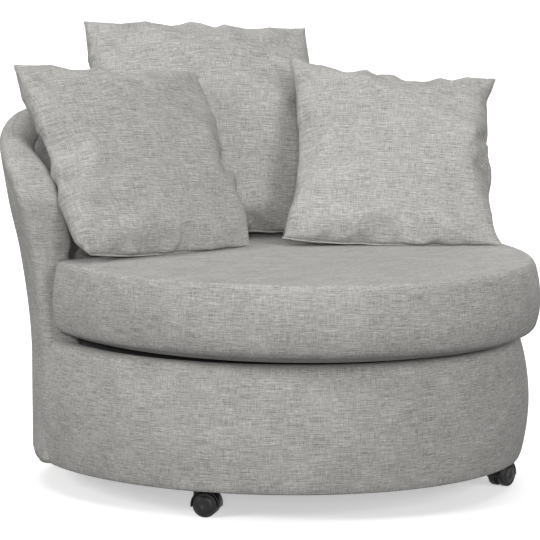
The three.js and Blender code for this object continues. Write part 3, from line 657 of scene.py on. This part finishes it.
def cushion_levels():
    """(inset, height, part, pucker) of each ring, from the underside's middle to the top's middle."""
    insets_below = (485, 420, 340, 260, 190, 130, 85, 60)
    bottom_edge = [
        (44, 2.6, "under", 0.3), (30, 7, "under", 0.6), (20, 12, "under", 0.9), (12.5, 16.4, "under", 1),
        (9.2, 18.4, "under", 1), (8.6, 19.8, "seam", 0), (6.6, 21.4, "side", 1), (3.4, 27, "side", 1),
    ]
    top_edge = [
        (6.2, -9, "side", 1), (8.4, -4.6, "side", 1), (10.6, -2.6, "seam", 0), (11.6, -0.9, "top", 1),
        (14, 0.3, "top", 1),
    ]
    insets_above = (18, 25, 35, 48, 64, 84, 108, 136, 168, 204, 244, 288, 334, 380, 424, 462, 488)
    levels = [(inset, CUSHION_BOTTOM + 0.5, "under", 0) for inset in insets_below]
    levels += [(inset, CUSHION_BOTTOM + rise, part, pucker) for inset, rise, part, pucker in bottom_edge]
    foot, head = CUSHION_BOTTOM + 27, CUSHION_TOP - 9
    for share in np.linspace(0, 1, 17)[1:-1]:
        bulge = 7.5 * (1 - abs(2 * share - 1) ** 2.2) * (1.25 - 0.5 * share)
        lean = 3.4 * (1 - share) + 6 * share * share
        levels.append((lean - bulge, foot + (head - foot) * share, "side", 1 - math.sin(math.pi * share)))
    levels += [(inset, CUSHION_TOP + rise, part, pucker) for inset, rise, part, pucker in top_edge]
    for inset in insets_above:
        levels.append((inset, CUSHION_TOP + crown_height(inset - 6), "top", max(0, 1 - inset / 40)))
    return levels


def seat_cushion():
    """The cushion's case, with a seam round its bottom and top edges, and the foam inside it."""
    levels = cushion_levels()
    count = len(OUTLINE)
    around = lengths_along(np.vstack([OUTLINE, OUTLINE[:1]]))
    height = lengths_along([(inset, z) for inset, z, _, _ in levels])
    rows, weave = [], []
    for inset, z, part, pucker in levels:
        row = []
        for c, (x, y) in enumerate(OUTLINE * (1 - inset / CUSHION_HALF_WIDTH)):
            slack = 1.6 * ripple((x, y, z), 170, 11) + 0.5 * ripple((x, y, z * 0.6), 45, 12)
            fold = 0.9 * pucker * ripple((around[c], z * 0.25, 0), 13, 14)
            fold += 0.7 * pucker * ripple((around[c], z * 0.2, 5), 37, 15)
            away = np.array([x, y, 0]) / max(math.hypot(x, y), 1)
            direction = away if part == "side" else away * 0.3 + (0, 0, 1)
            row.append((x, y, z) + direction * (slack + fold if part in ("side", "top") else 0))
        rows.append(row)
        weave.append([(x, y) for x, y, _ in row] + [tuple(row[0][:2])])
    points, faces, corners = swept(rows, weave)
    low_seam, high_seam = [r for r, level in enumerate(levels) if level[2] == "seam"]
    for r in range(low_seam, high_seam):
        for c in range(count):
            (a, b), (low, high) = around[c : c + 2], height[r : r + 2]
            corners[r * count + c] = ((a, low), (b, low), (b, high), (a, high))
    shape(
        "seat_cushion_case", points, faces, corners,
        body="seat_cushion", node="seat_cushion_cover", fill=0.85,
    )
    cover, lining = 6, 4
    foam = [
        [
            (x, y, min(max(z, CUSHION_BOTTOM + lining), CUSHION_TOP + crown_height(inset - 6) - cover))
            for x, y in OUTLINE[::2] * (1 - (inset + cover) / CUSHION_HALF_WIDTH)
        ]
        for inset, z, part, _ in levels if part != "seam"
    ]
    plain_surface("seat_cushion_core", foam, "seat_foam", "seat_cushion_foam", body="seat_cushion", fill=1)


# Loose pillows: two square panels sewn edge to edge and blown up as cloth

PILLOWS = {
    "left_pillow": dict(
        width=462, height=446, thickness=140, taper=0.045, seed=1,
        place=(-254, 126, 664), yaw=16.2, lean=-33.7, roll=5.2,
        edges=(
            [(-1, 0), (-0.5, -6), (0, -8), (0.5, -6), (1, 0)],
            [(-1, 0), (-0.86, 4), (-0.7, -5), (-0.4, -9), (0, -4), (0.5, 0), (0.85, 3), (1, 0)],
            [(-1, 0), (-0.8, 6), (-0.5, 10), (0, 15), (0.5, 9), (1, 0)],
            [(-1, -14), (-0.8, -14), (-0.3, -5), (0.1, 2), (0.5, -3), (0.8, -4), (1, -5)],
        ),
        folds=[(-1, -1, 28, 35, (6, -10, 5))],
    ),
    "right_pillow": dict(
        width=466, height=448, thickness=140, taper=-0.018, seed=2,
        place=(312.3, 49, 654), yaw=-20.1, lean=-38.4, roll=5,
        edges=(
            [(-1, 0), (-0.6, -4), (0, -6), (0.6, -4), (1, 0)],
            [
                (-1, 0), (-0.9, 9), (-0.8, 21), (-0.62, 28), (-0.1, 30),
                (0.2, 27), (0.5, 26), (0.7, 27), (0.85, 10), (1, 0),
            ],
            [
                (-1, -22), (-0.84, -7), (-0.71, 6), (-0.35, 13), (0, 18),
                (0.2, 25), (0.5, 16), (0.77, 8), (1, 0),
            ],
            [
                (-1, 0), (-0.78, 7), (-0.58, 19), (-0.36, 26), (-0.14, 28),
                (0.38, 24), (0.71, 15), (0.88, 6), (1, 0),
            ],
        ),
    ),
    "back_pillow": dict(
        width=509, height=499, thickness=147, taper=0, seed=3,
        place=(1.8, 334, 711), yaw=-10.2, lean=-29.5, roll=2.8,
        edges=(
            [(-1, 0), (0, -4), (1, 0)],
            [(-1, 0), (-0.8, 4), (0, 3), (0.6, 1), (0.85, 3), (1, 0)],
            [(-1, 0), (-0.9, 4), (-0.7, 6), (0, 5), (0.7, 7), (0.9, 5), (1, 0)],
            [(-1, 0), (-0.8, 8), (0, 9), (0.6, 7), (0.85, 5), (1, 0)],
        ),
    ),
}
PILLOW_CORNERS = [(x, z) for x in (-1, 1) for z in (-1, 1)]
PILLOW_CELLS = 60
SEAM_BOW = 0.02

FILLING_STEPS = 60
CLOTH_SETTINGS = {
    "quality": 8,
    "mass": 0.1,
    "tension_stiffness": 60,
    "compression_stiffness": 60,
    "shear_stiffness": 20,
    "bending_stiffness": 0.35,
    "use_pressure": True,
    "uniform_pressure_force": 3.2,
}


def round_cornered(u, v, radius=0.07):
    """A place in the square from -1 to 1, with the square's corners drawn in to arcs."""
    start = 1 - radius
    a, b = (abs(u) - start) / radius, (abs(v) - start) / radius
    if a <= 0 or b <= 0:
        return u, v
    across, up = a * math.sqrt(1 - b * b / 2), b * math.sqrt(1 - a * a / 2)
    return math.copysign(start + across * radius, u), math.copysign(start + up * radius, v)


def pillow_panels(width, height, taper, seed):
    """Flat panels: points in mm, faces, weave corners and the ring of points along the seam.

    The cut edges bow outward a little.
    """
    cells = PILLOW_CELLS
    shares = np.linspace(-1, 1, cells + 1)
    index, points, faces, corners = {}, [], [], []

    def corner(i, j, side):
        edge = i in (0, cells) or j in (0, cells)
        key = (i, j, 0 if edge else side)
        if key not in index:
            index[key] = len(points)
            u, v = round_cornered(shares[i], shares[j])
            puff = 0 if edge else ((1 - u**4) * (1 - v**4)) ** 0.5
            x = u * width / 2 * (1 + taper * v) * (1 + SEAM_BOW * (1 - v * v))
            z = v * height / 2 * (1 + SEAM_BOW * (1 - u * u))
            lift = 14 * puff + 2.5 * puff * ripple((x, z, side * 90), 70, seed)
            points.append((x, side * lift, z))
        return index[key]

    for side in (-1, 1):
        for i in range(cells):
            for j in range(cells):
                square = ((i, j), (i + 1, j), (i + 1, j + 1), (i, j + 1))
                face = [corner(a, b, side) for a, b in square]
                flat = [(shares[a] * width / 2, shares[b] * height / 2) for a, b in square]
                faces.append(face[::-side])
                corners.append(flat[::-side])
    ring = [(i, 0) for i in range(cells)] + [(cells, j) for j in range(cells)]
    ring += [(i, cells) for i in range(cells, 0, -1)] + [(0, j) for j in range(cells, 0, -1)]
    return np.array(points), faces, corners, [index[(i, j, 0)] for i, j in ring]


def squared_up(filled, flat, width, height, taper):
    """The filled pillow with its four corners drawn back out to the size it was measured at."""
    u, v = flat[:, 0] / np.abs(flat[:, 0]).max(), flat[:, 2] / np.abs(flat[:, 2]).max()
    fitted = filled.copy()
    for x, z in PILLOW_CORNERS:
        tip = np.argmax(x * flat[:, 0] + z * flat[:, 2])
        wanted = np.array([x * width / 2 * (1 + taper * z), 0, z * height / 2])
        share = (1 + x * u) * (1 + z * v) / 4
        fitted += np.clip(share, 0, 1)[:, None] * (wanted - filled[tip])
    return fitted


def drawn_to(filled, seam, edges, width, height, taper, thickness):
    """The filled pillow with its four edges drawn to the lines measured for them, and its sides made fuller.

    edges gives, for the bottom, right, top and left, (share along the edge, mm inside the straight line).
    """
    bottom, right, top, left = range(4)
    size = (width, thickness, height)
    shares = np.linspace(-1, 1, PILLOW_CELLS + 1)
    loop = [*seam, seam[0]]
    drawn = filled.copy()
    for edge, side, axis in ((right, 1, 0), (left, -1, 0), (top, 1, 2), (bottom, -1, 2)):
        inset = np.interp(shares, *zip(*edges[edge]))
        for _ in range(3):
            inset[1:-1] = inset[:-2] / 4 + inset[1:-1] / 2 + inset[2:] / 4
        ring = filled[loop[edge * PILLOW_CELLS : (edge + 1) * PILLOW_CELLS + 1]]
        along = 2 - axis
        ring = ring[np.argsort(ring[:, along])]
        place, level = 2 * ring[:, along] / size[along], 2 * filled[:, along] / size[along]
        straight = size[axis] / 2 * (1 + taper * place if axis == 0 else 1)
        wanted = side * (straight - np.interp(place, shares, inset))
        near = (filled[:, axis] / np.interp(level, place, ring[:, axis])).clip(0, 1)
        drawn[:, axis] += np.interp(level, place, wanted - ring[:, axis]) * near**1.6
        drawn[:, 1] -= 0.9 * np.interp(level, place, ring[:, 1]) * near**6
    half = thickness / 2
    drawn[:, 1] = np.sign(drawn[:, 1]) * half * (np.abs(drawn[:, 1]) / half).clip(0, 1.2) ** 0.8
    return drawn


def waved(points, flat, width, height, seed):
    """The bottom seam lifted here and there, as it lies on the seat, under a belly of filling."""
    wave, wavelength, reach = 9, 62, 16
    moved = points.copy()
    level, across = 2 * points[:, 2] / height, (2 * points[:, 0] / width).clip(-1, 1)
    belly = np.exp(-(((level + 0.8) / 0.14) ** 2)) * (1 - across**4)
    front = points[:, 1] < -3
    moved[front, 1] -= 7 * belly[front]
    moved[front, 2] -= 5 * belly[front]
    near = np.exp(-((flat[:, 2] + height / 2) / reach).clip(0))
    for k in np.nonzero(near > 0.02)[0]:
        moved[k, 2] += near[k] * wave * max(0, ripple((flat[k, 0], 0, 0), wavelength, seed * 3) + 0.05)
    return moved


def folded(points, tip, radius, turn, push):
    """A corner of the pillow curled over: points near the tip turn about it and are pushed by a vector."""
    away = np.linalg.norm(points - tip, axis=1) / radius
    share = np.where(away < 1, (1 - np.minimum(away, 1) ** 2) ** 2, 0)
    moved = points.copy()
    for k in np.nonzero(share)[0]:
        twist = np.array(Matrix.Rotation(math.radians(turn) * share[k], 3, "Y"))
        moved[k] = tip + (points[k] - tip) @ twist.T + np.array(push) * share[k]
    return moved


def gathered(points, flat, width, height, seed):
    """Small folds that fan out from each corner and die away."""
    strongest, spread, folds, depth = 45, 30, 11, 1.5
    moved = points.copy()
    sides = np.where(points[:, 1] < 0, -1.0, 1.0)
    for x, z in PILLOW_CORNERS:
        dx, dz = flat[:, 0] - x * width / 2, flat[:, 2] - z * height / 2
        angle = np.arctan2(-z * dz, -x * dx)
        share = np.exp(-(((np.hypot(dx, dz) - strongest) / spread) ** 2)) * np.sin(2 * angle) ** 2
        moved[:, 1] += sides * share * depth * np.cos(angle * folds + seed * 2.1 + x + 3 * z)
    return moved


def blown_up(points, faces, thickness):
    """The panels after Blender's cloth has filled them to a thickness, in mm."""
    mesh = bpy.data.meshes.new("cloth")
    mesh.from_pydata((points * MM).tolist(), [], faces)
    cloth_object = bpy.data.objects.new("cloth", mesh)
    scene = bpy.context.scene
    scene.collection.objects.link(cloth_object)
    cloth = cloth_object.modifiers.new("cloth", "CLOTH")
    for setting, value in CLOTH_SETTINGS.items():
        setattr(cloth.settings, setting, value)
    cloth.settings.effector_weights.gravity = 0
    cloth.point_cache.frame_start = 1
    cloth.point_cache.frame_end = FILLING_STEPS
    filled = points
    for step in range(1, FILLING_STEPS + 1):
        scene.frame_set(step)
        depsgraph = bpy.context.evaluated_depsgraph_get()
        shown = cloth_object.evaluated_get(depsgraph).to_mesh()
        coordinates = np.empty(len(points) * 3, np.float32)
        shown.vertices.foreach_get("co", coordinates)
        before, filled = filled, coordinates.reshape(-1, 3).astype(float) / MM
        depth, last_depth = np.ptp(filled[:, 1]), np.ptp(before[:, 1])
        if depth >= thickness:
            share = (thickness - last_depth) / max(depth - last_depth, 1e-6)
            filled = before + (filled - before) * share
            break
    bpy.data.objects.remove(cloth_object)
    bpy.data.meshes.remove(mesh)
    scene.frame_set(1)
    return filled


def pillow_turn(yaw, lean, roll):
    angles = [math.radians(angle) for angle in (yaw, lean, roll)]
    turned = Matrix.Rotation(angles[0], 3, "Z") @ Matrix.Rotation(angles[1], 3, "X")
    return np.array(turned @ Matrix.Rotation(angles[2], 3, "Y"))


def rested(points, clearance=0.8, softness=4):
    """Points pressed up where they would sink into the seat cushion."""
    settled = points.copy()
    for k, (x, y, z) in enumerate(points):
        above = z - seat_height(x, y) - clearance
        if above < 6 * softness:
            settled[k][2] = z - above + softness * math.log1p(math.exp(above / softness))
    return settled


def pillow(name, width, height, thickness, taper, seed, place, yaw, lean, roll, edges, folds=()):
    flat, faces, corners, seam = pillow_panels(width, height, taper, seed)
    filled = blown_up(flat, faces, thickness)
    filled = squared_up(filled, flat, width, height, taper)
    filled = drawn_to(filled, seam, edges, width, height, taper, thickness)
    filled = waved(gathered(filled, flat, width, height, seed), flat, width, height, seed)
    for corner_x, corner_z, radius, turn, push in folds:
        tip = np.array([corner_x * width / 2, 0, corner_z * height / 2])
        filled = folded(filled, tip, radius, turn, push)
    turned = filled @ pillow_turn(yaw, lean, roll).T
    settled = rested(turned + place)
    piece = shape(
        name + "_case", settled, faces, corners,
        slot="pillow_fabric", body=name, node=name, fill=0.7,
    )
    smoother = piece.modifiers.new("finer", "SUBSURF")
    smoother.levels = smoother.render_levels = 1
    depsgraph = bpy.context.evaluated_depsgraph_get()
    finer = bpy.data.meshes.new_from_object(piece.evaluated_get(depsgraph))
    piece.modifiers.clear()
    piece.data = finer
    shape(name + "_seam", *seam_ridge(settled[seam], turned[seam]), slot="pillow_fabric", body=name)


def seam_ridge(line, local):
    """The turned seam allowance: a thin lip round the pillow's edge, which shows most along the bottom."""
    sides, weave_step = 8, 1.5
    bottom_stand, other_stand, flatness = 2, 0.3, 0.6
    centre = local.mean(0)
    count = len(line)
    rows = []
    for k in range(count):
        ahead = line[(k + 1) % count] - line[k - 1]
        ahead /= np.linalg.norm(ahead)
        out = local[k] - centre
        out -= ahead * out.dot(ahead)
        out /= np.linalg.norm(out)
        over = np.cross(ahead, out) * flatness
        stand = bottom_stand if k < PILLOW_CELLS else other_stand
        rows.append([
            line[k] + (out * math.cos(angle) + over * math.sin(angle)) * stand
            for angle in np.linspace(0, 2 * math.pi, sides, endpoint=False)
        ])
    rows.append(rows[0])
    along = lengths_along(np.vstack([line, line[:1]]))
    weave = [[(distance, j * weave_step) for j in range(sides + 1)] for distance in along]
    return swept(rows, weave, capped=False)


# Under the seat


def deck_pad():
    """Felt pad over the springs, crowned in the middle and soft at its rim."""
    low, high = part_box("deck_pad")
    half_width = (high.x - low.x) / 2 / MM
    front, back = (ORIGIN[1] - low.y) / MM, (high.y - ORIGIN[1]) / MM
    base, thickness, crown = low.z / MM, 17.2, 6
    outline = []
    for angle in np.linspace(0, 2 * math.pi, 120, endpoint=False):
        reach = front if math.sin(angle) < 0 else back
        outline.append((half_width * math.cos(angle), reach * math.sin(angle)))
    outline = np.array(outline)
    rises = [crown * max(0, 1 - s * s * 1.7) for s in np.linspace(0, 1, 14)]
    levels = list(zip(np.linspace(0.04, 1, 14), rises))
    rings = [[(x, y, base + rise) for x, y in outline * share] for share, rise in levels]
    for share, rise in reversed(levels):
        top = base + rise + thickness - 5 * max(0, (share - 0.93) / 0.07) ** 2
        rings.append([(x, y, top + 0.7 * ripple((x, y, 0), 40, 21)) for x, y in outline * share])
    plain_surface("deck_felt_pad", rings, "deck_felt", "deck_pad", fill=0.8)


def dust_cloth():
    """Black cloth stretched under the frame, slack by a millimetre or two between its staples."""
    low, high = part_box("dust_cover")
    corners = np.array([vertex.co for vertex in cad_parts["dust_cover"].data.vertices])
    under = corners[corners[:, 2] < (low.z + high.z) / 2]
    spread = (under - ORIGIN)[:, :2] / MM
    spread = spread[np.argsort(np.arctan2(spread[:, 1], spread[:, 0]))]
    outline = resampled(spread, 160)
    shares = np.concatenate([np.linspace(0.03, 0.94, 16), [0.97, 1]])
    rings = []
    for height, steps in ((low.z / MM, shares), (high.z / MM, shares[::-1])):
        for share in steps:
            level = height - 1.6 * max(0, 1 - share**2)
            slack = 0.5 * (1 - share)
            rings.append([(x, y, level - slack * abs(ripple((x, y, 0), 70, 31))) for x, y in outline * share])
    cloth = plain_surface("dust_cloth", rings, "dust_cloth", "dust_cover")


# Casters


def lathe(profile, turns):
    """Points and faces of a profile of (radius, y) turned round the y axis, its ends closed."""
    rows = []
    for angle in np.linspace(0, 2 * math.pi, turns, endpoint=False):
        rows.append([(radius * math.cos(angle), y, radius * math.sin(angle)) for radius, y in profile])
    count = len(profile)
    faces = []
    for r in range(turns):
        n = (r + 1) % turns
        for c in range(count - 1):
            faces.append((r * count + c, r * count + c + 1, n * count + c + 1, n * count + c))
    faces += [[r * count + end for r in range(turns)] for end in (0, count - 1)]
    return np.array(rows).reshape(-1, 3), faces


def joined(parts):
    """Several (points, faces) as one."""
    points, faces, start = [], [], 0
    for part_points, part_faces in parts:
        points.append(np.asarray(part_points, float))
        faces += [[index + start for index in face] for face in part_faces]
        start += len(part_points)
    return np.concatenate(points), faces


def hood_parts():
    """Both fenders, the web between the wheels and the neck, in the caster's own frame."""
    inner, outer, half = WHEEL_RADIUS + 1.5, WHEEL_RADIUS + 4.5, HOOD_HALF_WIDTH
    below_axle = 5
    section = [
        (-3, 4), (-3, inner - 2), (-4.4, inner - 0.4), (-6, inner), (-half + 0.8, inner),
        (-half, inner + 0.8), (-half, outer - 1.8), (-half + 0.6, outer - 0.6), (-half + 2, outer),
    ]
    section += [(-x, radius) for x, radius in reversed(section)]
    drop = math.asin(below_axle / outer)
    rows = []
    for angle in np.linspace(-drop, math.pi + drop, 49):
        rows.append([(radius * math.cos(angle), x, radius * math.sin(angle)) for x, radius in section])
    arch, arch_faces, _ = swept(rows, np.zeros((len(rows), len(section) + 1, 2)))
    boss, boss_faces = lathe([(8.2, -3.2), (8.6, -2.8), (8.6, 2.8), (8.2, 3.2)], 32)
    neck, neck_faces = lathe([(11, 26), (11, 56), (10.4, 56.8), (9.6, 57.1)], 36)
    return joined([
        (arch + AXLE_PLACE, arch_faces), (boss + AXLE_PLACE, boss_faces), (neck[:, [0, 2, 1]], neck_faces),
    ])


def wheel_parts(side):
    """A wheel, hollowed on its inner side, with a raised cap on its outer face."""
    inner, radius = 3.7, WHEEL_RADIUS
    outer = inner + WHEEL_WIDTH
    profile = [
        (3.3, inner), (9, inner), (9, inner + 3), (19, inner + 3), (20, inner + 2.6), (22.4, inner),
        (radius - 0.8, inner + 0.8), (radius, inner + 2.4), (radius, outer - 2.6),
        (radius - 0.7, outer - 0.8), (radius - 2.4, outer), (20.6, outer + 0.3), (20.1, outer - 0.5),
        (18.8, outer - 0.5), (18.3, outer + 0.5), (7, outer + 1.2), (6.4, outer + 0.8), (0.01, outer + 0.8),
    ]
    points, faces = lathe([(r, side * y) for r, y in profile], 56)
    return points + AXLE_PLACE, faces


def caster(name, x, y, turned):
    angle = math.atan2(y, x) + QUARTER + math.radians(turned)
    turn = np.array(Matrix.Rotation(angle, 3, "Z"))

    def put(piece_name, parts, slot, body, node):
        points, faces = parts
        shape(piece_name, points @ turn.T + (x, y, 0), faces, slot=slot, body=body, node=node)

    put(f"caster_{name}_fender", hood_parts(), "black_hood", f"caster_{name}", f"caster_hood_{name}")
    for number, side in ((1, 1), (2, -1)):
        body, wheel = f"wheel_{name}_{number}", f"caster_wheel_{name}_{number}"
        put(f"caster_{name}_tread_{number}", wheel_parts(side), "black_wheel", body, wheel)


# Finishes on the CAD nodes that stay

NODE_FINISH = {
    "plywood": ("bottom_ring", "deck_ring", "arm_board", "top_rail"),
    "hardwood": ("base_post", "back_stay"),
    "fibreboard": ("front_board",),
    "spring_steel": ("seat_spring",),
    "zinc_steel": ("caster_plate", "caster_axle"),
}


def finish_nodes():
    for name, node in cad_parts.items():
        for slot, starts in NODE_FINISH.items():
            if name.startswith(starts):
                for place in node.material_slots:
                    place.material = MATERIALS[slot]


# Studio, in metres

CAMERA_TARGET = (-0.0167, 0.0562, 0.43)
CAMERA_BACK = (-0.4506, -0.8844, 0.1219)
CAMERA_DISTANCE = 7


def studio_floor():
    mesh = bpy.data.meshes.new("floor")
    half = 60
    corners = [(-half, -half, 0), (half, -half, 0), (half, half, 0), (-half, half, 0)]
    mesh.from_pydata(corners, [], [(0, 1, 2, 3)])
    floor = bpy.data.objects.new("floor", mesh)
    bpy.context.scene.collection.objects.link(floor)
    material, tree, shader = new_material("studio_floor")
    place = add_node(tree, "ShaderNodeTexCoord").outputs["Object"]
    value = stretched_noise(tree, place, (400, 400, 400))
    set_inputs(tree, shader, {
        "Base Color": ramp(tree, value, [(0.3, "#f6f6f6"), (0.7, "#f9f9f9")]),
        "Roughness": 1, "Specular IOR Level": 0, "Emission Color": (1, 1, 1, 1), "Emission Strength": 0.46,
    })
    mesh.materials.append(material)
    floor.visible_diffuse = False


def far_light(name, toward, width, strength):
    """A large soft light far away, which lights the whole floor evenly."""
    light = bpy.data.lights.new(name, "SUN")
    light.angle = math.radians(width)
    light.energy = strength
    lamp = bpy.data.objects.new(name, light)
    lamp.location = Vector(toward) * 4
    lamp.rotation_euler = Vector(toward).to_track_quat("Z", "Y").to_euler()
    bpy.context.scene.collection.objects.link(lamp)


def studio_lights():
    """Lights round the camera's side, by their turn from it and height in degrees, and one overhead."""
    camera_side = math.atan2(CAMERA_BACK[1], CAMERA_BACK[0])
    for name, around, up, width, strength in (
        ("key", 0, 12, 9, 1.4),
        ("left", -62, 29, 22, 1.45),
        ("right", 42, 24, 22, 1.05),
        ("behind", 170, 16, 40, 0.8),
    ):
        facing, rise = camera_side + math.radians(around), math.radians(up)
        level = math.cos(rise)
        toward = (math.cos(facing) * level, math.sin(facing) * level, math.sin(rise))
        far_light(name, toward, width, strength)
    far_light("overhead", (0.05, 0.1, 1), 50, 1.2)


def studio_world():
    """White where the camera looks past the floor, and a dim even light that is weaker from below."""
    above, below = 0.17, 0.08
    scene = bpy.context.scene
    scene.world = bpy.data.worlds.new("studio")
    scene.world.use_nodes = True
    tree = scene.world.node_tree
    place = add_node(tree, "ShaderNodeTexCoord").outputs["Generated"]
    under = maths(tree, "LESS_THAN", upright(tree, place), 0)
    strength = maths(tree, "MULTIPLY_ADD", under, below - above, above)
    ambient = tree.nodes["Background"]
    set_inputs(tree, ambient, {"Color": (1, 1, 1, 1), "Strength": strength})
    white = add_node(tree, "ShaderNodeBackground", {"Color": (1, 1, 1, 1), "Strength": 1})
    seen = add_node(tree, "ShaderNodeLightPath").outputs["Is Camera Ray"]
    mixed = add_node(tree, "ShaderNodeMixShader", {0: seen, 1: ambient.outputs[0], 2: white.outputs[0]})
    tree.links.new(mixed.outputs[0], tree.nodes["World Output"].inputs["Surface"])
    scene.view_settings.view_transform = "Standard"


def studio_camera():
    camera = bpy.data.cameras.new("camera")
    camera.sensor_width = 36
    camera.lens = 222
    camera.clip_end = 60
    eye = bpy.data.objects.new("camera", camera)
    back = Vector(CAMERA_BACK)
    eye.location = Vector(CAMERA_TARGET) + back * CAMERA_DISTANCE
    eye.rotation_euler = back.to_track_quat("Z", "Y").to_euler()
    bpy.context.scene.collection.objects.link(eye)
    bpy.context.scene.camera = eye


outer_cover()
inner_pad()
edge_roll()
front_band()
seat_cushion()
for pillow_name, facts in PILLOWS.items():
    pillow(pillow_name, **facts)
deck_pad()
dust_cloth()
for caster_name, (plan_x, plan_y, turned_by) in CASTERS.items():
    caster(caster_name, plan_x, plan_y, turned_by)
finish_nodes()
studio_floor()
studio_lights()
studio_world()
studio_camera()
